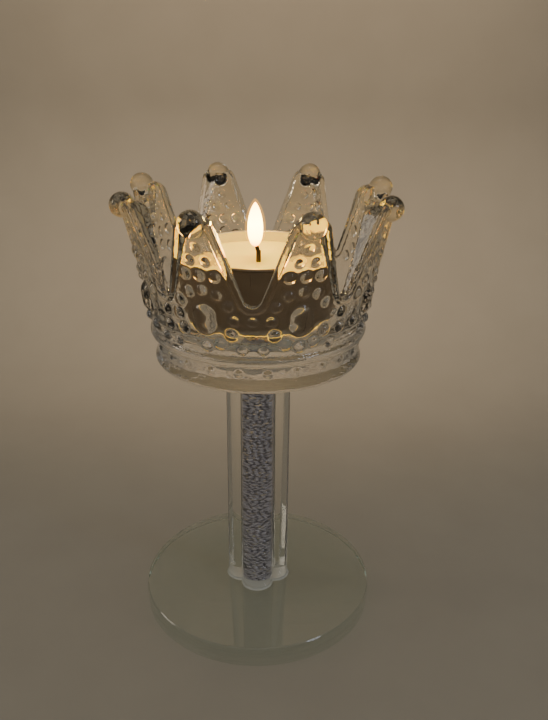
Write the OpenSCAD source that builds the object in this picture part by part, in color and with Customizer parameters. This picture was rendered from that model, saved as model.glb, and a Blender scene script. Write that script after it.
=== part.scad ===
// A footed tealight holder: a round glass base, a four-lobed stem filled with crystal chips,
// and a pressed glass crown cup with eight ball-tipped prongs around a lift-out tealight.
// +Z is up, the origin is the centre of the base's underside, and a gap between prongs faces -Y.

/* [Base] */
// Radius of the round glass base
base_r = 32; // [28:0.5:40]
// Thickness of the base
base_t = 6; // [4:0.5:10]
// Bevel ground on both rims of the base
base_bevel = 0.7; // [0.3:0.1:1.5]

/* [Stem] */
// Length of the stem between its two glue films
stem_len = 69; // [50:1:110]
// Radius of each of the stem's four lobes
lobe_r = 4.1; // [3.6:0.1:5]
// Distance from the stem's axis to each lobe's axis
lobe_offset = 4.4; // [4:0.1:5]
// Radius of the bore that holds the crystal chips
bore_r = 2.75; // [2:0.05:3.2]
// Thickness of each film of clear glue
glue_t = 0.2; // [0.1:0.05:0.4]

/* [Crown cup] */
// Thickness of the glass between the candle's floor and the outside of the plain band
foot_wall = 5.6; // [4:0.1:9]
// Height of the plain band
band_h = 7; // [5:0.1:10]
// How far the band draws in from its foot to its top
band_draw = 0.8; // [0:0.1:1.5]
// How far the centres of the ball tips stand out past the foot of the wall
tip_flare = 6; // [3:0.1:10]
// Height of the ball tips' centres above the cup's underside
tip_h = 40.7; // [36:0.1:55]
// Radius of each ball tip
tip_r = 3; // [2:0.1:4]
// How far the outer wall bows in from a straight cone, as a share of its flare
flare_bow = 0.5; // [0:0.05:0.8]
// Height of the lowest point of each V gap above the cup's underside
gap_floor_h = 21.8; // [18:0.1:28]
// Radius of the round bottom of each V gap
gap_round = 2.2; // [1.5:0.1:3]
// Slope of each side of a V gap, in degrees from upright
gap_slope = 20.6; // [14:0.1:22]
// Radius that rounds the top of each prong, seen from outside
prong_round = 3; // [2.4:0.1:3.4]
// Thickness of the glass under the candle
floor_t = 9.8; // [6:0.1:16]
// Gap between the candle and the edge of the flat floor that it stands on
seat_gap = 2.1; // [1:0.1:4]
// Thickness of the wall where the bowl meets it
wall_t = 2.5; // [2:0.1:3.5]

/* [Moulded ornament] */
// Radius of the large beads
bead_r = 1.5; // [1:0.1:1.8]
// How far each large bead stands out of the wall
bead_proud = 0.95; // [0.5:0.05:1.2]
// Radius of the small beads near the balls and along the lip
small_bead_r = 1.15; // [0.8:0.05:1.4]
// Height of the oval cabochon on each prong
oval_h = 9; // [7:0.1:10]
// Width of the oval cabochon
oval_w = 6.8; // [5:0.1:7]
// How far the oval stands out of the wall
oval_proud = 1.5; // [0.8:0.1:2]
// Number of beads along the plain band
band_dots = 24; // [16:1:32]
// Radius of each bead on the band
dot_r = 1.2; // [0.8:0.1:1.5]
// How far each bead on the band stands out
dot_proud = 0.5; // [0.3:0.05:0.7]

/* [Tealight] */
// Radius of the aluminium cup's wall
light_r = 18.7; // [18:0.1:23]
// Height of the aluminium cup
light_h = 18; // [14:0.5:22]
// Thickness of the aluminium
foil_t = 0.3; // [0.2:0.05:0.5]
// Radius of the rolled rim
curl_r = 0.4; // [0.3:0.05:0.6]
// How far the wax stands below the rim
wax_drop = 3; // [1:0.5:10]
// Radius of the wick
wick_r = 0.6; // [0.4:0.1:1]
// Length of wick that stands out of the wax
wick_out = 7.2; // [4:0.1:10]
// Lean of the burnt end of the wick, in degrees
wick_lean = 16; // [0:1:35]

/* [Hidden] */
$fn = 96;

prongs = 8;
pitch = 360 / prongs;

// Levels up the axis
stem_z = base_t + glue_t;
cup_z = stem_z + stem_len + glue_t;
light_z = cup_z + floor_t;
wax_top_z = light_z + light_h - wax_drop;

// The crown cup's band and lip, with heights from the cup's underside
seat_r = light_r + seat_gap;
band_r = seat_r + foot_wall;
foot_round = 1;
lip_h = 2.4;
lip_proud = 0.8;
lip_step = 0.6;

// The crown cup's wall, from the top of the lip to the rounded tops of the prongs
wall_h = band_h + lip_h;
wall_foot_r = band_r + lip_step;
tip_ring_r = wall_foot_r + tip_flare;
prong_top_r = 2.6;
prong_top_drop = 1.9;
prong_top_h = tip_h - prong_top_drop;
rim_h = prong_top_h + prong_top_r;
bowl_h = 13;
inside_r = wall_r(floor_t + bowl_h) - wall_t;
seam_turn = 4;

// The cuts between prongs start just inside the wall, and run past the glass
cut_inset = 0.7;
cut_depth = 15;
cut_over = 0.3;
turn_end = 100;

// The ring of beads round each oval, and the rows of beads above it
ring_beads = 12;
ring_r = 6.95;
ring_lift = 3.1;
ring_h = wall_h + (gap_floor_h - wall_h) / 2 + ring_lift;
row_step = 3.4;
row_half = 3.7;
small_row_half = 1.9;
last_row = 2.9;

// The beads under each gap, and the row of beads along the band
fill_step = 3.8;
lip_bead_half = 2.4;
lip_bead_lift = 1.9;
dot_h = 0.7 * band_h;

// The foot of the aluminium cup, and the tin tab that holds the wick upright
foil_corner = 1;
tab_r = 6.5;
tab_t = 0.3;
tab_neck_r = wick_r + 0.4;
tab_neck_h = 3.4;
char_share = 0.85;

// Radius of the cup's outer wall at height h
function wall_share(h) = (h - wall_h) / (tip_h - wall_h);
function wall_r(h) =
  wall_foot_r
  + (tip_ring_r - wall_foot_r) * wall_share(h) * (1 - flare_bow + flare_bow * wall_share(h));

// Points of an arc about c, with separate radii across and up
function arc(c, rx, ry, from, to, steps) = [
  for (i = [0 : steps]) let (a = from + (to - from) * i / steps) [c[0] + rx * cos(a), c[1] + ry * sin(a)]
];

module base() {
  color("#c9d8d2")
    rotate_extrude()
      polygon([
        [0, 0],
        [base_r - base_bevel, 0],
        [base_r, base_bevel],
        [base_r, base_t - base_bevel],
        [base_r - base_bevel, base_t],
        [0, base_t]
      ]);
}

// Four round lobes that meet on the axis
module stem_outline() {
  for (a = [0 : 90 : 270])
    rotate(a) translate([lobe_offset, 0]) circle(r = lobe_r);
  square(lobe_offset, center = true);
}

module foot_glue() {
  color("#e6ecea")
    translate([0, 0, base_t])
      linear_extrude(glue_t) stem_outline();
}

module stem() {
  color("#d6dcd8")
    translate([0, 0, stem_z])
      linear_extrude(stem_len)
        difference() {
          stem_outline();
          circle(r = bore_r);
        }
}

module crystal_fill() {
  color("#b9b9bf")
    translate([0, 0, stem_z])
      cylinder(r = bore_r, h = stem_len);
}

module cup_glue() {
  color("#e6ecea")
    translate([0, 0, stem_z + stem_len])
      linear_extrude(glue_t) stem_outline();
}

// Outline of the cup as a solid of revolution, from the axis out: a rounded foot, the band,
// a rolled lip, the flared wall and a rounded rim
module cup_outline() {
  polygon(concat(
    [[0, 0]],
    arc([band_r - foot_round, foot_round], foot_round, foot_round, -90, 0, 4),
    [[band_r - band_draw, band_h / 2], [band_r - band_draw, band_h]],
    arc([wall_foot_r - lip_proud / 2, wall_h - lip_h / 2], lip_proud, lip_h / 2, -90, 90, 6),
    [for (i = [1 : 8]) let (h = wall_h + (prong_top_h - wall_h) * i / 8) [wall_r(h), h]],
    arc([wall_r(prong_top_h) - prong_top_r, prong_top_h], prong_top_r, prong_top_r, 15, 90, 4),
    [[0, rim_h]]
  ));
}

// Space inside the cup: a flat floor, a curved bowl and an almost upright wall
module cup_space_outline() {
  inner_top_r = wall_r(prong_top_h) - 2 * prong_top_r;
  polygon(concat(
    [[0, floor_t]],
    arc([seat_r, floor_t + bowl_h], inside_r - seat_r, bowl_h, -90, 0, 7),
    arc([inner_top_r + prong_top_r, prong_top_h], prong_top_r, prong_top_r, 180, 90, 4),
    [[inner_top_r + prong_top_r, rim_h + cut_depth], [0, rim_h + cut_depth]]
  ));
}

// One V gap, seen from outside: a round bottom, straight sides, then the rounded prong tops
module gap_outline() {
  round_h = gap_floor_h + gap_round;
  top_h = rim_h + cut_over;
  turn_h = top_h - prong_round + prong_round * sin(gap_slope);
  turn_w = gap_round / cos(gap_slope) + (turn_h - round_h) * tan(gap_slope);
  middle = [turn_w + prong_round * cos(gap_slope), top_h - prong_round];
  turn = arc(middle, prong_round, prong_round, 180 - gap_slope, turn_end, 4);
  right = concat(turn, [[turn[4][0], top_h + cut_over]]);
  left = [for (i = [len(right) - 1 : -1 : 0]) [-right[i][0], right[i][1]]];
  bottom = arc([0, round_h], gap_round, gap_round, gap_slope - 180, -gap_slope, 8);
  polygon(concat(bottom, right, left));
}

// Starting inside the wall keeps the cuts from meeting each other
module gaps() {
  for (i = [0 : prongs - 1])
    rotate([0, 0, i * pitch])
      translate([0, cut_inset - inside_r, 0])
        rotate([90, 0, 0])
          linear_extrude(cut_depth) gap_outline();
}

// Moves its children to height h on the wall, at an angle plus a distance across
module on_wall(angle, across, h, depth) {
  rotate([0, 0, angle + across / wall_r(h) * 180 / PI - 90])
    translate([wall_r(h) - depth, 0, h])
      children();
}

module bead(angle, across, h, r = bead_r) {
  on_wall(angle, across, h, r - bead_proud * r / bead_r)
    sphere(r = r, $fn = 24);
}

// The oval is a round-ended bar that stands out of the wall by oval_proud
module oval(angle) {
  bar_r = oval_w / 2;
  half = (oval_h - oval_w) / 2;
  lean = atan((wall_r(ring_h + 1) - wall_r(ring_h - 1)) / 2);
  on_wall(angle, 0, ring_h, bar_r - oval_proud)
    rotate([0, lean, 0]) {
      cylinder(r = bar_r, h = 2 * half, center = true, $fn = 32);
      for (s = [-1, 1])
        translate([0, 0, s * half]) sphere(r = bar_r, $fn = 32);
    }
}

// One prong's ornament: the oval, the ring of beads round it and three rows up to the ball
module prong_ornament(angle) {
  oval(angle);
  for (i = [0 : ring_beads - 1]) {
    a = i * 360 / ring_beads;
    bead(angle, ring_r * sin(a), ring_h + ring_r * cos(a));
  }
  for (across = [-row_half, 0, row_half])
    bead(angle, across, ring_h + ring_r + row_step);
  for (across = [-small_row_half, small_row_half])
    bead(angle, across, ring_h + ring_r + 2 * row_step, small_bead_r);
  bead(angle, 0, ring_h + ring_r + last_row * row_step, small_bead_r);
}

// Beads that fill the space under a gap, between two rings
module gap_ornament(angle) {
  for (drop = [0, fill_step])
    bead(angle, 0, ring_h - drop);
  for (across = [-lip_bead_half, lip_bead_half])
    bead(angle, across, wall_h + lip_bead_lift, small_bead_r);
}

module band_ornament() {
  for (i = [0 : band_dots - 1])
    rotate([0, 0, (i + 0.5) * 360 / band_dots])
      translate([band_r - band_draw - dot_r + dot_proud, 0, dot_h])
        sphere(r = dot_r, $fn = 24);
}

// The turned shapes start between two beads, so that no bead is centred on their seam
module crown_cup() {
  color("#d9d6cc")
    translate([0, 0, cup_z]) {
      difference() {
        union() {
          rotate([0, 0, seam_turn]) rotate_extrude() cup_outline();
          for (i = [0 : prongs - 1]) {
            prong_ornament((i + 0.5) * pitch);
            gap_ornament(i * pitch);
          }
          band_ornament();
        }
        rotate([0, 0, seam_turn]) rotate_extrude() cup_space_outline();
        gaps();
      }
      for (i = [0 : prongs - 1])
        rotate([0, 0, (i + 0.5) * pitch])
          translate([0, -tip_ring_r, tip_h])
            sphere(r = tip_r, $fn = 32);
    }
}

module tealight_cup() {
  color("#b8b8ba")
    translate([0, 0, light_z])
      rotate_extrude() {
        polygon([
          [0, 0],
          [light_r - foil_corner, 0],
          [light_r, foil_corner],
          [light_r, light_h - curl_r],
          [light_r - foil_t, light_h - curl_r],
          [light_r - foil_t, foil_corner],
          [light_r - foil_corner, foil_t],
          [0, foil_t]
        ]);
        translate([light_r, light_h - curl_r]) circle(r = curl_r, $fn = 24);
      }
}

module wick_tab() {
  color("#a7a7a9")
    translate([0, 0, light_z + foil_t])
      difference() {
        union() {
          cylinder(r = tab_r, h = tab_t);
          cylinder(r = tab_neck_r, h = tab_neck_h);
        }
        translate([0, 0, tab_t])
          cylinder(r = wick_r, h = tab_neck_h);
      }
}

module wax() {
  inner_r = light_r - foil_t;
  floor_z = light_z + foil_t;
  color("#fff3c8")
    difference() {
      translate([0, 0, floor_z])
        rotate_extrude()
          polygon([
            [0, 0],
            [light_r - foil_corner, 0],
            [inner_r, foil_corner - foil_t],
            [inner_r, wax_top_z - floor_z],
            [0, wax_top_z - floor_z]
          ]);
      translate([0, 0, floor_z]) {
        cylinder(r = tab_r, h = tab_t);
        cylinder(r = tab_neck_r, h = tab_neck_h);
        cylinder(r = wick_r, h = light_h);
      }
    }
}

// The wick stands upright out of its tab, and its thinner burnt end leans over
module wick() {
  foot_z = light_z + foil_t + tab_t;
  bend_z = wax_top_z + wick_out / 3;
  color("#3a2f26") {
    translate([0, 0, foot_z])
      cylinder(r = wick_r, h = bend_z - foot_z);
    translate([0, 0, bend_z - wick_r])
      rotate([0, -wick_lean, 0])
        cylinder(r = char_share * wick_r, h = wick_out * 2 / 3);
  }
}

base();
foot_glue();
stem();
crystal_fill();
cup_glue();
crown_cup();
tealight_cup();
wick_tab();
wax();
wick();
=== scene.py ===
import math
import random
import bpy
from mathutils import Matrix, Vector


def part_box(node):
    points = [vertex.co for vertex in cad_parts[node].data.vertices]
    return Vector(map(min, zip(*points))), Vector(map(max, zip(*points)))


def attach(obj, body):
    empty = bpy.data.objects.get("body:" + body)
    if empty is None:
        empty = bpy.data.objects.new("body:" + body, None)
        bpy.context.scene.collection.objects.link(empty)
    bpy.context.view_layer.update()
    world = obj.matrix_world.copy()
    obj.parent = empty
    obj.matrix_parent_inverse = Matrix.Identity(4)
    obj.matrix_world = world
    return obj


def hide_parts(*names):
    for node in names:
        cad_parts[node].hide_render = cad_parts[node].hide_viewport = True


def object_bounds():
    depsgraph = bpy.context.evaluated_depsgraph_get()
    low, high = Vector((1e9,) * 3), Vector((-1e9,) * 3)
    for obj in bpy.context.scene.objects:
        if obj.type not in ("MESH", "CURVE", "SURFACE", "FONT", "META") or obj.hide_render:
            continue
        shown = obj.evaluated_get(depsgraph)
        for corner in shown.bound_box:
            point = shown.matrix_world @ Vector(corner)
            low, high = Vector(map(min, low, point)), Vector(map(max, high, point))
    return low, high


# A footed crown tealight holder with a lit candle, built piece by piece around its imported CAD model.
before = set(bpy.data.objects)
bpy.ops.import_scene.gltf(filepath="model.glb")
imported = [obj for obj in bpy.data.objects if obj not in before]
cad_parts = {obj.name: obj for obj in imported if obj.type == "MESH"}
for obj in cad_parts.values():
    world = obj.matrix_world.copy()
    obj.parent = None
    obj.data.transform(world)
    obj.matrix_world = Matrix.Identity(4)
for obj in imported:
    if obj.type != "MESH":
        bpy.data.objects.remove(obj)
cad_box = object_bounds()

# ------------------------------------------------------------------ base
# The foot is a disc of clear float glass, cut round and ground at both rims, then polished.
# It stands loose on the table, and the stem is glued to its middle.
MM = 0.001
base_low, base_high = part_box("base")
base_radius = (base_high[0] - base_low[0]) / 2
base_height = base_high[2] - base_low[2]
RIM_GRIND = 0.7 * MM
RIM_POINTS = 180
SMUDGE_SPACING = 11.11 * MM


def pick(obj):
    """Leaves obj as the only selected and active object, in object mode."""
    if bpy.context.mode != "OBJECT":
        bpy.ops.object.mode_set(mode="OBJECT")
    bpy.ops.object.select_all(action="DESELECT")
    obj.select_set(True)
    bpy.context.view_layer.objects.active = obj


def edit_where(obj, mode, test):
    """Goes into edit mode with only the verts, edges or faces that pass test selected."""
    pick(obj)
    bpy.ops.object.mode_set(mode="EDIT")
    bpy.ops.mesh.select_mode(type=mode)
    bpy.ops.mesh.select_all(action="DESELECT")
    bpy.ops.object.mode_set(mode="OBJECT")
    mesh = obj.data
    parts = {"VERT": mesh.vertices, "EDGE": mesh.edges, "FACE": mesh.polygons}[mode]
    for part in parts:
        part.select = test(mesh, part)
    bpy.ops.object.mode_set(mode="EDIT")


def finish_piece(obj, name, body, material, replaced=(), smooth_angle=35):
    """Names obj, puts its place into its mesh, gives it its material, hands it to its body, and hides the
    CAD nodes that it replaces.
    """
    pick(obj)
    bpy.ops.object.transform_apply(location=True, rotation=True, scale=True)
    bpy.ops.object.shade_smooth_by_angle(angle=math.radians(smooth_angle))
    obj.name = obj.data.name = name
    obj.data.materials.clear()
    obj.data.materials.append(material)
    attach(obj, body)
    if replaced:
        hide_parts(*replaced)


def at_level(level, slack=0.01 * MM):
    """A test for edges or vertices that lie at one height, in the piece's own frame."""
    def test(mesh, part):
        points = getattr(part, "vertices", None)
        points = [part.co] if points is None else [mesh.vertices[i].co for i in points]
        return all(abs(p.z - level) < slack for p in points)
    return test


def colour(code):
    """A linear colour from its sRGB hex value."""
    channels = [int(code[i:i + 2], 16) / 255 for i in (1, 3, 5)]
    return (*[c / 12.92 if c <= 0.04045 else ((c + 0.055) / 1.055) ** 2.4 for c in channels], 1)


def new_material(name):
    """An empty material and the tree that its nodes go in."""
    material = bpy.data.materials.new(name)
    material.use_nodes = True
    material.node_tree.nodes.clear()
    return material, material.node_tree


def add(tree, kind, sockets=None, **settings):
    """Adds a node with its settings, and sets each socket or links it to another node's output."""
    node = tree.nodes.new(kind)
    for name, value in settings.items():
        setattr(node, name, value)
    for name, value in (sockets or {}).items():
        if isinstance(value, bpy.types.NodeSocket):
            tree.links.new(value, node.inputs[name])
        else:
            node.inputs[name].default_value = value
    return node


def end_glass(tree, surface, clearness, depth=None):
    """Ends a glass material. The light that falls on other pieces goes straight through it."""
    path = add(tree, "ShaderNodeLightPath")
    through = add(tree, "ShaderNodeMath", {
        0: path.outputs["Is Shadow Ray"], 1: path.outputs["Is Diffuse Ray"]}, operation="MAXIMUM")
    passing = add(tree, "ShaderNodeBsdfTransparent", {"Color": colour(clearness)})
    both = add(tree, "ShaderNodeMixShader", {
        0: through.outputs[0], 1: surface.outputs[0], 2: passing.outputs[0]})
    ends = {"Surface": both.outputs[0]}
    if depth:
        ends["Volume"] = depth.outputs[0]
    add(tree, "ShaderNodeOutputMaterial", ends)


# Float glass, cut and polished: clear, dead flat on its faces, faintly green through its depth,
# with the slight dulling that handling leaves on the faces.
float_glass, tree = new_material("float_glass_polished")
place = add(tree, "ShaderNodeTexCoord").outputs["Object"]
smudge = add(tree, "ShaderNodeTexNoise", {"Vector": place, "Scale": 1 / SMUDGE_SPACING, "Detail": 3.0})
dulling = add(tree, "ShaderNodeMapRange", {
    "Value": smudge.outputs["Fac"], "From Min": 0.45, "From Max": 0.75, "To Min": 0.0, "To Max": 0.02})
surface = add(tree, "ShaderNodeBsdfPrincipled", {
    "Base Color": colour("#fdfefd"), "Roughness": dulling.outputs["Result"],
    "Transmission Weight": 1.0, "IOR": 1.52})
depth = add(tree, "ShaderNodeVolumeAbsorption", {"Color": colour("#a9d6c0"), "Density": 12.0})
end_glass(tree, surface, "#fcfefd", depth)

bpy.ops.object.select_all(action="DESELECT")
bpy.ops.mesh.primitive_cylinder_add(
    vertices=RIM_POINTS, radius=base_radius, depth=base_height, location=(0, 0, base_height / 2))
base_disc = bpy.context.object
for level in (-base_height / 2, base_height / 2):
    edit_where(base_disc, "EDGE", at_level(level))
    bpy.ops.mesh.bevel(offset=RIM_GRIND, segments=3, profile=0.6)
    bpy.ops.object.mode_set(mode="OBJECT")
finish_piece(base_disc, "base_disc", "holder", float_glass, ["base"])

# ------------------------------------------------------------------ stem
# The stem is a drawn glass rod of four round lobes with a bore up its middle. It stands on the
# base and carries the crown, with a film of clear adhesive at each end.
stem_low, stem_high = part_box("stem")
bore_low, bore_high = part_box("crystal_fill")
bore_radius = (bore_high[0] - bore_low[0]) / 2
LOBES = 4
LOBE_RADIUS = 4.1 * MM
LOBE_REACH = math.pi / 3
lobe_offset = (stem_high[0] - stem_low[0]) / 2 - LOBE_RADIUS
# A power mean joins the lobes. The higher this is, the sharper the valleys between them are.
VALLEY_SHARPNESS = 26
OUTLINE_POINTS = 240
DRAWN_LINE_SPACING = 2.381 * MM
# Each piece of a glued joint reaches this far into the next, as glass in full contact looks.
CONTACT = 0.05 * MM


def lobed_radius(angle):
    """Radius of the four-lobed outline at an angle, with softened valleys between the lobes."""
    total = 0.0
    for lobe in range(LOBES):
        turn = (angle - lobe * 2 * math.pi / LOBES + math.pi) % (2 * math.pi) - math.pi
        across = lobe_offset * math.sin(turn)
        if abs(turn) < LOBE_REACH and abs(across) < LOBE_RADIUS:
            reach = lobe_offset * math.cos(turn) + math.sqrt(LOBE_RADIUS ** 2 - across ** 2)
            total += (reach / MM) ** VALLEY_SHARPNESS
    return total ** (1 / VALLEY_SHARPNESS) * MM


def lobed_ring(level, fill):
    """A circle primitive, with its points moved out to the four-lobed outline."""
    bpy.ops.object.select_all(action="DESELECT")
    bpy.ops.mesh.primitive_circle_add(
        vertices=OUTLINE_POINTS, radius=bore_radius, fill_type=fill, location=(0, 0, level))
    ring = bpy.context.object
    for vertex in ring.data.vertices:
        angle = math.atan2(vertex.co.y, vertex.co.x)
        vertex.co.x = lobed_radius(angle) * math.cos(angle)
        vertex.co.y = lobed_radius(angle) * math.sin(angle)
    return ring


# Drawn soda-lime glass: clear and bright, with faint lines along the rod from the drawing.
rod_glass, tree = new_material("drawn_rod_glass")
place = add(tree, "ShaderNodeTexCoord").outputs["Object"]
along = add(tree, "ShaderNodeMapping", {"Vector": place, "Scale": (1.0, 1.0, 0.02)})
lines = add(tree, "ShaderNodeTexNoise", {
    "Vector": along.outputs["Vector"], "Scale": 1 / DRAWN_LINE_SPACING, "Detail": 2.0})
relief = add(tree, "ShaderNodeBump", {
    "Strength": 0.06, "Distance": 0.2 * MM, "Height": lines.outputs["Fac"]})
surface = add(tree, "ShaderNodeBsdfPrincipled", {
    "Base Color": colour("#fbfcfa"), "Roughness": 0.01, "Transmission Weight": 1.0, "IOR": 1.5,
    "Normal": relief.outputs["Normal"]})
end_glass(tree, surface, "#fbfbf9")

stem = lobed_ring(stem_low[2] - CONTACT, "NOTHING")
edit_where(stem, "VERT", lambda mesh, part: True)
bpy.ops.mesh.primitive_circle_add(
    vertices=OUTLINE_POINTS, radius=bore_radius, location=(0, 0, stem_low[2] - CONTACT))
bpy.ops.mesh.select_all(action="SELECT")
stem_length = stem_high[2] - stem_low[2] + 2 * CONTACT
bpy.ops.mesh.extrude_region_move(TRANSFORM_OT_translate={"value": (0, 0, stem_length)})
bpy.ops.object.mode_set(mode="OBJECT")
for level in (0.0, stem_length):
    edit_where(stem, "EDGE", at_level(level))
    bpy.ops.mesh.bridge_edge_loops()
bpy.ops.mesh.select_all(action="SELECT")
bpy.ops.mesh.normals_make_consistent(inside=False)
finish_piece(stem, "lobed_stem", "holder", rod_glass, ["stem"])

# ------------------------------------------------------------------ glue films
# A thin film of clear ultraviolet-cured adhesive joins each end of the stem. The lower one was
# squeezed out a little, and its bead makes the bright wavy line round the foot.
RIPPLE_SPACING = 2 * MM
BEAD_HEIGHT = 0.35 * MM
BEAD_SWELL = 0.45 * MM

# Cured acrylic adhesive: a little milky, with soft ripples where it flowed.
adhesive, tree = new_material("cured_clear_adhesive")
place = add(tree, "ShaderNodeTexCoord").outputs["Object"]
ripple = add(tree, "ShaderNodeTexNoise", {"Vector": place, "Scale": 1 / RIPPLE_SPACING, "Detail": 1.0})
relief = add(tree, "ShaderNodeBump", {
    "Strength": 0.15, "Distance": 0.2 * MM, "Height": ripple.outputs["Fac"]})
surface = add(tree, "ShaderNodeBsdfPrincipled", {
    "Base Color": colour("#fafcfb"), "Roughness": 0.25, "Transmission Weight": 0.7, "IOR": 1.49,
    "Normal": relief.outputs["Normal"]})
end_glass(tree, surface, "#fbfbf9")

for node, squeezed, swell, name in (
        ("foot_glue", BEAD_HEIGHT, BEAD_SWELL, "foot_glue_bead"),
        ("cup_glue", 0.0, 0.0, "cup_glue_film")):
    film_low, film_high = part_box(node)
    film = lobed_ring(film_low[2] - CONTACT, "NGON")
    edit_where(film, "FACE", lambda mesh, part: True)
    bpy.ops.mesh.extrude_region_move(
        TRANSFORM_OT_translate={"value": (0, 0, film_high[2] - film_low[2] + 2 * CONTACT + squeezed)})
    bpy.ops.object.mode_set(mode="OBJECT")
    for vertex in film.data.vertices:
        if vertex.co.z < 0.01 * MM:
            vertex.co.xy *= 1 + swell / vertex.co.xy.length
    edit_where(film, "VERT", lambda mesh, part: True)
    bpy.ops.mesh.normals_make_consistent(inside=False)
    finish_piece(film, name, "holder", adhesive, [node])

# ------------------------------------------------------------------ crystal fill
# Several thousand small cut crystal chips, poured into the stem's bore before it was closed.
# One chip is modelled and copied, and each layer has a ring at the bore's wall and one inside it.
CHIP_RADIUS = 0.4 * MM
CHIP_FLATNESS = 0.7
SMALLEST_CHIP = 0.75
LAYER_STEP = 0.5 * MM
LEVEL_JITTER = 0.2 * MM
WALL_CHIPS = 22
wall_ring = bore_radius - 0.95 * CHIP_RADIUS
INNER_CHIPS = 12
inner_ring = 0.66 * bore_radius
# The most that a chip is turned, in radians.
ANY_TURN = 6.28
SPARKLE_SIZE = 0.7143 * MM
dice = random.Random(7)

# Lead crystal, cut in flat facets: every facet throws back a different part of the room, so the
# column looks like lilac-grey glitter with white sparks.
crystal, tree = new_material("lead_crystal_cut")
place = add(tree, "ShaderNodeTexCoord").outputs["Object"]
chips = add(tree, "ShaderNodeTexVoronoi", {"Vector": place, "Scale": 1 / SPARKLE_SIZE})
shade = add(tree, "ShaderNodeValToRGB", {"Fac": chips.outputs["Color"]})
shade.color_ramp.elements[0].color = colour("#b0aebb")
shade.color_ramp.elements[1].color = colour("#cfccd9")
surface = add(tree, "ShaderNodeBsdfPrincipled", {
    "Base Color": shade.outputs["Color"], "Roughness": 0.2, "Metallic": 0.15, "IOR": 1.7})
add(tree, "ShaderNodeOutputMaterial", {"Surface": surface.outputs[0]})

bpy.ops.object.select_all(action="DESELECT")
bpy.ops.mesh.primitive_ico_sphere_add(subdivisions=1, radius=CHIP_RADIUS)
chip = bpy.context.object
for vertex in chip.data.vertices:
    vertex.co.z *= CHIP_FLATNESS
pieces = []
layers = int((bore_high[2] - bore_low[2] - 2 * CHIP_RADIUS) / LAYER_STEP)
for layer in range(layers + 1):
    level = bore_low[2] + CHIP_RADIUS + layer * LAYER_STEP
    for count, reach in ((WALL_CHIPS, wall_ring), (INNER_CHIPS, inner_ring)):
        start = dice.uniform(0, 2 * math.pi)
        for i in range(count):
            angle = start + i * 2 * math.pi / count
            copy = bpy.data.objects.new("chip", chip.data.copy())
            tumble = dice.uniform(0, ANY_TURN)
            turn = Matrix.Rotation(tumble, 4, Vector((dice.gauss(0, 1), dice.gauss(0, 1), 1)))
            spot = Vector((reach * math.cos(angle), reach * math.sin(angle), level))
            spot.z += dice.uniform(-LEVEL_JITTER, LEVEL_JITTER)
            spot.z = min(max(spot.z, bore_low[2] + CHIP_RADIUS), bore_high[2] - CHIP_RADIUS)
            shrink = Matrix.Scale(dice.uniform(SMALLEST_CHIP, 1.0), 4)
            copy.data.transform(Matrix.Translation(spot) @ turn @ shrink)
            bpy.context.collection.objects.link(copy)
            pieces.append(copy)
bpy.data.objects.remove(chip)
bpy.ops.object.select_all(action="DESELECT")
for copy in pieces:
    copy.select_set(True)
bpy.context.view_layer.objects.active = pieces[0]
bpy.ops.object.join()
finish_piece(
    pieces[0], "crystal_chips", "holder", crystal, ["crystal_fill"], smooth_angle=1)

# ------------------------------------------------------------------ crown cup
# The cup is one piece of clear pressed glass: a plain beaded band, a rolled lip, eight prongs
# with an oval in a ring of beads and a raised border, and a ball on each tip. Pressing and fire
# polishing left every edge soft, so the CAD cup is copied, skinned with the borders and smoothed.
PRONGS = 8
SKIN = 0.34 * MM
SKIN_SMOOTHING = 0.5
# The share of its faces that the skin keeps, so that the crown stays under 200,000 triangles.
SKIN_SHARE = 0.46
cup_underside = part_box("crown_cup")[0][2]
# Levels from here on are above the cup's underside.
WALL_FOOT = 9.4 * MM
WALL_RISE = 31.3 * MM
WALL_FOOT_RADIUS = 27 * MM
WALL_FLARE = 6 * MM
WALL_BOW = 0.5
RIB_RADIUS = 0.85 * MM
RIB_INSET = 0.6 * MM
RIB_SINK = 0.15 * MM
GAP_FLOOR = 21.8 * MM
GAP_ROUND = 2.2 * MM
GAP_SLOPE = math.radians(20.6)
PRONG_ROUND = 3.0 * MM
PRONG_TOP = 41.7 * MM
PRONG_TOP_SWEEP = math.radians(62)
GAP_STEPS = 6
SLOPE_STEPS = 12
PRONG_TOP_STEPS = 5
PAINTED_GLOW_START = 14 * MM
PAINTED_GLOW_FULL = 40 * MM
WAVE_SPACING = 3.846 * MM


def wall_radius(level):
    """Radius of the cup's outer wall at a level. It flares, and bows in from a straight cone."""
    share = (level - WALL_FOOT) / WALL_RISE
    return WALL_FOOT_RADIUS + WALL_FLARE * share * (1 - WALL_BOW + WALL_BOW * share)


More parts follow.
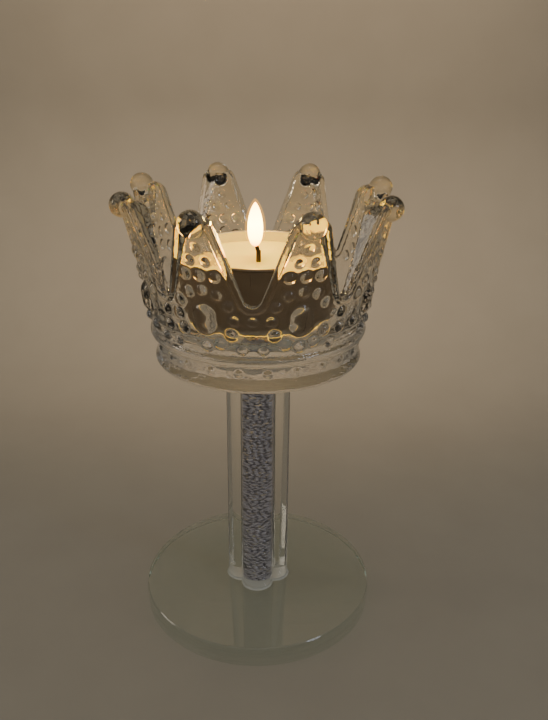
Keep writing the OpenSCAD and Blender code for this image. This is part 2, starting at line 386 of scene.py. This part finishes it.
def gap_edge():
    """Half of a V gap's edge, moved into the glass: from its lowest point up round the prong."""
    reach = GAP_ROUND + RIB_INSET
    points = []
    for i in range(GAP_STEPS + 1):
        angle = i / GAP_STEPS * (math.pi / 2 - GAP_SLOPE)
        points.append((reach * math.sin(angle), GAP_FLOOR + GAP_ROUND - reach * math.cos(angle)))
    turn_level = PRONG_TOP - PRONG_ROUND * (1 - math.sin(GAP_SLOPE))
    slope_rise = turn_level - GAP_FLOOR - GAP_ROUND
    centre = GAP_ROUND / math.cos(GAP_SLOPE) + slope_rise * math.tan(GAP_SLOPE)
    centre += PRONG_ROUND * math.cos(GAP_SLOPE)
    round_top = []
    for i in range(PRONG_TOP_STEPS + 1):
        angle = math.pi - GAP_SLOPE - i / PRONG_TOP_STEPS * PRONG_TOP_SWEEP
        across = centre + (PRONG_ROUND - RIB_INSET) * math.cos(angle)
        round_top.append((across, PRONG_TOP - PRONG_ROUND + (PRONG_ROUND - RIB_INSET) * math.sin(angle)))
    foot_x, foot_level = points[-1]
    head_x, head_level = round_top[0]
    for i in range(1, SLOPE_STEPS):
        share = i / SLOPE_STEPS
        points.append((foot_x + share * (head_x - foot_x), foot_level + share * (head_level - foot_level)))
    return points + round_top


# Pressed soda-lime glass, fire polished: bright and clear, with soft waves a few mm apart from the mould.
# It turns warm towards the tips as painted light, which stands in for the flame's golden glow in the
# glass.
pressed_glass, tree = new_material("pressed_glass_fire_polished")
place = add(tree, "ShaderNodeTexCoord").outputs["Object"]
waves = add(tree, "ShaderNodeTexNoise", {"Vector": place, "Scale": 1 / WAVE_SPACING, "Detail": 2.0})
relief = add(tree, "ShaderNodeBump", {
    "Strength": 0.5, "Distance": 0.4 * MM, "Height": waves.outputs["Fac"]})
# Painted light: the warm tint rises towards the tips, in place of the flame's glow in the glass.
height = add(tree, "ShaderNodeSeparateXYZ", {"Vector": place})
rise = add(tree, "ShaderNodeMapRange", {
    "Value": height.outputs["Z"],
    "From Min": cup_underside + PAINTED_GLOW_START, "From Max": cup_underside + PAINTED_GLOW_FULL})
tint = add(tree, "ShaderNodeValToRGB", {"Fac": rise.outputs["Result"]})
tint.color_ramp.elements[0].color = colour("#fefdfa")
tint.color_ramp.elements[1].color = colour("#fff1d2")
surface = add(tree, "ShaderNodeBsdfPrincipled", {
    "Base Color": tint.outputs["Color"], "Roughness": 0.03, "Transmission Weight": 1.0, "IOR": 1.5,
    "Normal": relief.outputs["Normal"]})
end_glass(tree, surface, "#fbfbf9")

cup_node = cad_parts["crown_cup"]
crown = bpy.data.objects.new("crown", cup_node.data.copy())
bpy.context.collection.objects.link(crown)
edit_where(crown, "VERT", lambda mesh, part: True)
bpy.ops.mesh.remove_doubles(threshold=0.002 * MM)
bpy.ops.object.mode_set(mode="OBJECT")
half = gap_edge()
whole = [(-x, level) for x, level in reversed(half[1:])] + half
for gap in range(PRONGS):
    rib_line = bpy.data.curves.new("rib", "CURVE")
    rib_line.dimensions = "3D"
    rib_line.bevel_depth = RIB_RADIUS
    rib_line.bevel_resolution = 2
    rib_line.use_fill_caps = True
    line = rib_line.splines.new("POLY")
    line.points.add(len(whole) - 1)
    for point, (x, level) in zip(line.points, whole):
        reach = wall_radius(level) - RIB_SINK
        spot = Vector((x, -math.sqrt(reach ** 2 - x ** 2), cup_underside + level))
        point.co = (*(Matrix.Rotation(gap * 2 * math.pi / PRONGS, 3, "Z") @ spot), 1)
    rib = bpy.data.objects.new("rib", rib_line)
    bpy.context.collection.objects.link(rib)
    pick(rib)
    bpy.ops.object.convert(target="MESH")
    crown.select_set(True)
    bpy.context.view_layer.objects.active = crown
    bpy.ops.object.join()
for kind, settings in (
        ("REMESH", {"mode": "VOXEL", "voxel_size": SKIN}),
        ("SMOOTH", {"factor": SKIN_SMOOTHING, "iterations": 1}),
        ("DECIMATE", {"ratio": SKIN_SHARE})):
    modifier = crown.modifiers.new(kind.lower(), kind)
    for key, value in settings.items():
        setattr(modifier, key, value)
    bpy.ops.object.modifier_apply(modifier=modifier.name)
finish_piece(
    crown, "crown_pressed", "holder", pressed_glass, ["crown_cup"], smooth_angle=30)

# ------------------------------------------------------------------ tealight cup and tab
# The candle's cup is drawn from thin aluminium foil stock, with its rim rolled over. The small
# tin tab at the bottom is crimped round the wick and sits under the wax.
foil_low, foil_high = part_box("tealight_cup")
RIM_ROLL = 0.4 * MM
foil_radius = (foil_high[0] - foil_low[0]) / 2 - RIM_ROLL
SOOT_AND_SHADE_START = 0.3 * MM
SOOT_AND_SHADE_FULL = 3 * MM
# Only the outside is darkened, by soot and by painted shade: these are depths under the foil's outer face.
SOOT_AND_SHADE_DEEPEST = 0.25 * MM
SOOT_AND_SHADE_SHALLOW = 0.05 * MM
DIE_LINE_SPACING = 1.111 * MM
TIN_GRAIN = 0.6667 * MM

# Drawn aluminium: bright inside and at its foot. Up its outside it is darkened partly by soot and heat and
# partly by painted shade, where the side stands in shadow. It has fine upright lines from the drawing die
# and a soft sheen.
drawn_foil, tree = new_material("drawn_aluminium_foil")
place = add(tree, "ShaderNodeTexCoord").outputs["Object"]
along = add(tree, "ShaderNodeMapping", {"Vector": place, "Scale": (1.0, 1.0, 0.05)})
die_lines = add(tree, "ShaderNodeTexNoise", {
    "Vector": along.outputs["Vector"], "Scale": 1 / DIE_LINE_SPACING, "Detail": 2.0})
roughness = add(tree, "ShaderNodeMapRange", {
    "Value": die_lines.outputs["Fac"], "To Min": 0.22, "To Max": 0.42})
relief = add(tree, "ShaderNodeBump", {
    "Strength": 0.1, "Distance": 0.2 * MM, "Height": die_lines.outputs["Fac"]})
height = add(tree, "ShaderNodeSeparateXYZ", {"Vector": place})
rise = add(tree, "ShaderNodeMapRange", {
    "Value": height.outputs["Z"],
    "From Min": foil_low[2] + SOOT_AND_SHADE_START, "From Max": foil_low[2] + SOOT_AND_SHADE_FULL})
flat = add(tree, "ShaderNodeMapping", {"Vector": place, "Scale": (1.0, 1.0, 0.0)})
from_axis = add(tree, "ShaderNodeVectorMath", {0: flat.outputs["Vector"]}, operation="LENGTH")
outside = add(tree, "ShaderNodeMapRange", {
    "Value": from_axis.outputs["Value"],
    "From Min": foil_radius - SOOT_AND_SHADE_DEEPEST, "From Max": foil_radius - SOOT_AND_SHADE_SHALLOW})
soot_and_painted_shade = add(tree, "ShaderNodeMath", {
    0: rise.outputs["Result"], 1: outside.outputs["Result"]}, operation="MULTIPLY")
# The dark end of this ramp is soot and painted shade: the cup's side stands in shadow.
shade = add(tree, "ShaderNodeValToRGB", {"Fac": soot_and_painted_shade.outputs[0]})
shade.color_ramp.elements[0].color = colour("#e2dcc8")
shade.color_ramp.elements[1].color = colour("#8a7862")
surface = add(tree, "ShaderNodeBsdfPrincipled", {
    "Base Color": shade.outputs["Color"], "Metallic": 0.7, "Roughness": roughness.outputs["Result"],
    "Normal": relief.outputs["Normal"]})
add(tree, "ShaderNodeOutputMaterial", {"Surface": surface.outputs[0]})

# Tinned steel, stamped: greyer than the cup, with fine grain.
tinplate, tree = new_material("tinplate_stamped")
place = add(tree, "ShaderNodeTexCoord").outputs["Object"]
grain = add(tree, "ShaderNodeTexNoise", {"Vector": place, "Scale": 1 / TIN_GRAIN})
roughness = add(tree, "ShaderNodeMapRange", {
    "Value": grain.outputs["Fac"], "To Min": 0.3, "To Max": 0.5})
surface = add(tree, "ShaderNodeBsdfPrincipled", {
    "Base Color": colour("#a9a9ab"), "Metallic": 1.0, "Roughness": roughness.outputs["Result"]})
add(tree, "ShaderNodeOutputMaterial", {"Surface": surface.outputs[0]})

for node, material in (("tealight_cup", drawn_foil), ("wick_tab", tinplate)):
    for material_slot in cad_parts[node].material_slots:
        material_slot.material = material

# ------------------------------------------------------------------ wax
# Paraffin poured in the aluminium cup, which holds it. The flame has melted its top to a pool,
# which creeps up the cup's wall.
wax_low, wax_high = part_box("wax")
wax_radius = (wax_high[0] - wax_low[0]) / 2
wax_height = wax_high[2] - wax_low[2]
POOL_DROP = 0.5 * MM
EDGE_CREEP = 1.6 * MM
# Widths in millimetres of the rings that shape the pool's edge, from the wall inwards.
POOL_RING_STEPS = (0.4, 0.5, 0.7, 1.0, 3.0, 4.0, 4.0)
WAX_POINTS = 128
CLOUD_SPACING = 8.333 * MM
LIGHT_DEPTH = 6 * MM

# Paraffin, melted: wet and mirror-bright on top. Its glow is painted light, an emission that stands in for
# the flame's light from within, and its deep yellow is partly that light painted in.
paraffin, tree = new_material("paraffin_molten_top")
place = add(tree, "ShaderNodeTexCoord").outputs["Object"]
cloud = add(tree, "ShaderNodeTexNoise", {"Vector": place, "Scale": 1 / CLOUD_SPACING, "Detail": 3.0})
tint = add(tree, "ShaderNodeValToRGB", {"Fac": cloud.outputs["Fac"]})
tint.color_ramp.elements[0].color = colour("#ffe88a")
tint.color_ramp.elements[1].color = colour("#fff2b0")
# The emission is painted light: the flame's glow seen within the wax.
surface = add(tree, "ShaderNodeBsdfPrincipled", {
    "Base Color": tint.outputs["Color"], "Roughness": 0.35, "Coat Weight": 1.0, "Coat Roughness": 0.04,
    "Subsurface Weight": 0.8, "Subsurface Radius": (1.0, 0.6, 0.3), "Subsurface Scale": LIGHT_DEPTH,
    "Emission Color": colour("#ffc60c"), "Emission Strength": 1.7})
add(tree, "ShaderNodeOutputMaterial", {"Surface": surface.outputs[0]})

bpy.ops.object.select_all(action="DESELECT")
bpy.ops.mesh.primitive_cylinder_add(
    vertices=WAX_POINTS, radius=wax_radius, depth=wax_height,
    location=(0, 0, (wax_high[2] + wax_low[2]) / 2))
wax_pool = bpy.context.object
top_level = wax_height / 2
edit_where(wax_pool, "FACE", lambda mesh, part: part.normal.z > 0.9)
for step in POOL_RING_STEPS:
    bpy.ops.mesh.inset(thickness=step * MM, depth=0)
bpy.ops.object.mode_set(mode="OBJECT")
for vertex in wax_pool.data.vertices:
    if vertex.co.z > top_level - 0.01 * MM:
        from_wall = wax_radius - vertex.co.xy.length
        vertex.co.z -= POOL_DROP * (1 - math.exp(-from_wall / EDGE_CREEP))
finish_piece(wax_pool, "wax_pool", "tealight", paraffin, ["wax"], smooth_angle=60)

# ------------------------------------------------------------------ wick
# A braided cotton wick, held upright by its tab. The part above the wax has burnt: it is charred
# black and has bent over.
wick_low, wick_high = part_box("wick")
SOAKED_HEIGHT = 2.5 * MM
BRAID_SCALE = 380.0

# Charred cotton: black and matt at the top, soaked brown near the wax, with the braid's twist in
# diagonal bands.
cotton, tree = new_material("braided_cotton_charred")
place = add(tree, "ShaderNodeTexCoord").outputs["Object"]
height = add(tree, "ShaderNodeSeparateXYZ", {"Vector": place})
char = add(tree, "ShaderNodeMapRange", {
    "Value": height.outputs["Z"], "From Min": wax_high[2], "From Max": wax_high[2] + SOAKED_HEIGHT})
shade = add(tree, "ShaderNodeValToRGB", {"Fac": char.outputs["Result"]})
shade.color_ramp.elements[0].color = colour("#3d2c1a")
shade.color_ramp.elements[1].color = colour("#1b1613")
braid = add(tree, "ShaderNodeTexWave", {
    "Vector": place, "Scale": BRAID_SCALE, "Distortion": 2.0}, bands_direction="DIAGONAL")
relief = add(tree, "ShaderNodeBump", {
    "Strength": 0.6, "Distance": 0.2 * MM, "Height": braid.outputs["Fac"]})
surface = add(tree, "ShaderNodeBsdfPrincipled", {
    "Base Color": shade.outputs["Color"], "Roughness": 0.9, "Normal": relief.outputs["Normal"]})
add(tree, "ShaderNodeOutputMaterial", {"Surface": surface.outputs[0]})
for material_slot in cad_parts["wick"].material_slots:
    material_slot.material = cotton

# ------------------------------------------------------------------ flame
# The candle is lit. Its flame is a slim drop of burning wax vapour round the wick's top, and it
# moves with the tealight.
FLAME_HEIGHT = 11.0 * MM
FLAME_RADIUS = 2.0 * MM
# The width of the flame's foot and tip as shares of the ball that it is shaped from, and how
# quickly it narrows.
FOOT_WIDTH = 1.08
TIP_WIDTH = 0.08
NARROWING = 0.28
WICK_IN_FLAME = 3.2 * MM
FLAME_DRIFT = 0.2 * MM
MANTLE_SPREAD = 1.35
MANTLE_RISE = 1.08
flame_foot = wick_high[2] - WICK_IN_FLAME
flame_x = (wick_low[0] + wick_high[0]) / 2 - FLAME_DRIFT

# Burning vapour: faint at the foot, white-hot yellow in the body, deeper orange at the tip.
burning, tree = new_material("candle_flame_glow")
place = add(tree, "ShaderNodeTexCoord").outputs["Object"]
height = add(tree, "ShaderNodeSeparateXYZ", {"Vector": place})
share = add(tree, "ShaderNodeMapRange", {
    "Value": height.outputs["Z"], "From Min": flame_foot, "From Max": flame_foot + FLAME_HEIGHT})
glow = add(tree, "ShaderNodeValToRGB", {"Fac": share.outputs["Result"]})
glow.color_ramp.elements[0].color = colour("#a8501c")
glow.color_ramp.elements[1].color = colour("#ff9a30")
for at, code in ((0.22, "#ffb84a"), (0.55, "#ffd070"), (0.8, "#ffbe58")):
    glow.color_ramp.elements.new(at).color = colour(code)
surface = add(tree, "ShaderNodeEmission", {"Color": glow.outputs["Color"], "Strength": 32.0})
add(tree, "ShaderNodeOutputMaterial", {"Surface": surface.outputs[0]})

bpy.ops.object.select_all(action="DESELECT")
bpy.ops.mesh.primitive_uv_sphere_add(
    segments=32, ring_count=24, radius=1, location=(flame_x, 0, flame_foot + FLAME_HEIGHT / 2))
flame = bpy.context.object
for vertex in flame.data.vertices:
    share_up = (vertex.co.z + 1) / 2
    taper = FOOT_WIDTH * (1 - share_up) ** NARROWING + TIP_WIDTH * share_up
    vertex.co.x *= FLAME_RADIUS * taper
    vertex.co.y *= FLAME_RADIUS * taper
    vertex.co.z *= FLAME_HEIGHT / 2
finish_piece(flame, "flame", "tealight", burning, smooth_angle=80)

# The mantle where the vapour meets the air: a thin veil of orange light that hides nothing.
veil, tree = new_material("candle_flame_mantle")
clear = add(tree, "ShaderNodeBsdfTransparent")
shine = add(tree, "ShaderNodeEmission", {"Color": colour("#ffb02c"), "Strength": 3.0})
both = add(tree, "ShaderNodeMixShader", {0: 0.12, 1: clear.outputs[0], 2: shine.outputs[0]})
add(tree, "ShaderNodeOutputMaterial", {"Surface": both.outputs[0]})
mantle = bpy.data.objects.new("flame_mantle", flame.data.copy())
bpy.context.collection.objects.link(mantle)
for vertex in mantle.data.vertices:
    vertex.co.x = flame_x + (vertex.co.x - flame_x) * MANTLE_SPREAD
    vertex.co.y *= MANTLE_SPREAD
    vertex.co.z = flame_foot + (vertex.co.z - flame_foot) * MANTLE_RISE
finish_piece(mantle, "flame_mantle", "tealight", veil, smooth_angle=80)

# ------------------------------------------------------------------ floor, light and camera
# A pale sweep of matt card that rises behind the holder, with four soft panels, a wash on the
# card and the candle's own light.
SWEEP_SIZE = 2.4
SWEEP_BACK = 0.22
SWEEP_ROUND = 0.12
SWEEP_RISE = 0.9
FOLD_SLACK = 0.01
FIBRE_SPACING = 25 * MM

# Matt card: even and dry, with a faint cloudiness from its fibres.
card, tree = new_material("matt_pale_card")
place = add(tree, "ShaderNodeTexCoord").outputs["Object"]
fibre = add(tree, "ShaderNodeTexNoise", {"Vector": place, "Scale": 1 / FIBRE_SPACING, "Detail": 4.0})
tint = add(tree, "ShaderNodeValToRGB", {"Fac": fibre.outputs["Fac"]})
tint.color_ramp.elements[0].color = colour("#9c988c")
tint.color_ramp.elements[1].color = colour("#a6a296")
surface = add(tree, "ShaderNodeBsdfPrincipled", {"Base Color": tint.outputs["Color"], "Roughness": 0.9})
add(tree, "ShaderNodeOutputMaterial", {"Surface": surface.outputs[0]})

bpy.ops.object.select_all(action="DESELECT")
bpy.ops.mesh.primitive_plane_add(size=SWEEP_SIZE, location=(0, SWEEP_BACK - SWEEP_SIZE / 2, 0))
sweep = bpy.context.object
pick(sweep)
bpy.ops.object.transform_apply(location=True)
edit_where(sweep, "EDGE", lambda mesh, part: all(
    mesh.vertices[i].co.y > SWEEP_BACK - FOLD_SLACK for i in part.vertices))
bpy.ops.mesh.extrude_region_move(TRANSFORM_OT_translate={"value": (0, 0, SWEEP_RISE)})
bpy.ops.object.mode_set(mode="OBJECT")
edit_where(sweep, "EDGE", lambda mesh, part: all(
    mesh.vertices[i].co.y > SWEEP_BACK - FOLD_SLACK and mesh.vertices[i].co.z < FOLD_SLACK
    for i in part.vertices))
bpy.ops.mesh.bevel(offset=SWEEP_ROUND, segments=24)
bpy.ops.object.mode_set(mode="OBJECT")
pick(sweep)
bpy.ops.object.shade_smooth()
sweep.name = "pale_sweep"
sweep.data.materials.append(card)

# Each panel faces the holder's middle. Its row gives its place and width in metres, its power in
# watts and its tone.
middle = Vector((0, 0, (cad_box[1][2] + cad_box[0][2]) / 2))
for name, place, size, power, tone in (
        ("softbox_left", (-0.55, 0.0, 0.28), 0.16, 0.28, "#ffeeda"),
        ("softbox_right", (0.5, -0.3, 0.4), 0.14, 0.3, "#e4ecff"),
        ("softbox_front", (0.0, -1.1, 0.55), 0.9, 0.2, "#fff6ea"),
        ("softbox_top", (-0.05, 0.05, 0.6), 0.2, 0.12, "#fff0de")):
    lamp = bpy.data.lights.new(name, "AREA")
    lamp.shape = "SQUARE"
    lamp.size = size
    lamp.energy = power
    lamp.color = colour(tone)[:3]
    panel = bpy.data.objects.new(name, lamp)
    bpy.context.collection.objects.link(panel)
    panel.location = place
    panel.rotation_euler = (middle - Vector(place)).to_track_quat("-Z", "Y").to_euler()

# The wash hangs over the holder and shines back and down, so it lights the card and not the glass.
WASH_PLACE = (0.0, 0.04, 0.5)
WASH_AIM = (0.0, 0.2, -0.33)
wash_lamp = bpy.data.lights.new("wall_wash", "SPOT")
wash_lamp.energy = 7.0
wash_lamp.color = colour("#ffdcb6")[:3]
wash_lamp.shadow_soft_size = 0.05
wash_lamp.spot_size = math.radians(64)
wash_lamp.spot_blend = 1.0
wash = bpy.data.objects.new("wall_wash", wash_lamp)
bpy.context.collection.objects.link(wash)
wash.location = WASH_PLACE
wash.rotation_euler = Vector(WASH_AIM).to_track_quat("-Z", "Y").to_euler()

# The candle's light on its surroundings, from a point just over the flame.
GLOW_OVER_FLAME = 3 * MM
glow_lamp = bpy.data.lights.new("flame_glow", "POINT")
glow_lamp.energy = 0.012
glow_lamp.color = colour("#ffd060")[:3]
glow_lamp.shadow_soft_size = 1.5 * MM
candle_light = bpy.data.objects.new("flame_glow", glow_lamp)
bpy.context.collection.objects.link(candle_light)
candle_light.location = (flame_x, 0, flame_foot + FLAME_HEIGHT + GLOW_OVER_FLAME)

# The room is a little brighter overhead than it is near the floor.
room = bpy.data.worlds.new("soft_room")
bpy.context.scene.world = room
room.use_nodes = True
sky = room.node_tree
direction = add(sky, "ShaderNodeTexCoord").outputs["Generated"]
upward = add(sky, "ShaderNodeSeparateXYZ", {"Vector": direction})
strength = add(sky, "ShaderNodeMapRange", {
    "Value": upward.outputs["Z"], "From Min": 0.2, "To Min": 0.45, "To Max": 0.6})
sky.nodes["Background"].inputs["Color"].default_value = colour("#d6d0c6")
sky.links.new(strength.outputs["Result"], sky.nodes["Background"].inputs["Strength"])

# The camera stands in front, a little to the right, and looks down at the crown.
CAMERA_PLACE = (0.00881, -0.19335, 0.15464)
LOOK_DOWN = math.radians(22.82)
LOOK_LEFT = math.radians(1.40)
ROLL = math.radians(0.56)
lens = bpy.data.cameras.new("camera")
lens.sensor_width = 36.0
lens.lens = 40.16
lens.clip_start = 0.01
camera = bpy.data.objects.new("camera", lens)
bpy.context.collection.objects.link(camera)
camera.location = CAMERA_PLACE
camera.rotation_euler = (
    Matrix.Rotation(LOOK_LEFT, 3, "Z") @ Matrix.Rotation(math.pi / 2 - LOOK_DOWN, 3, "X")
    @ Matrix.Rotation(ROLL, 3, "Z")).to_euler()
bpy.context.scene.camera = camera
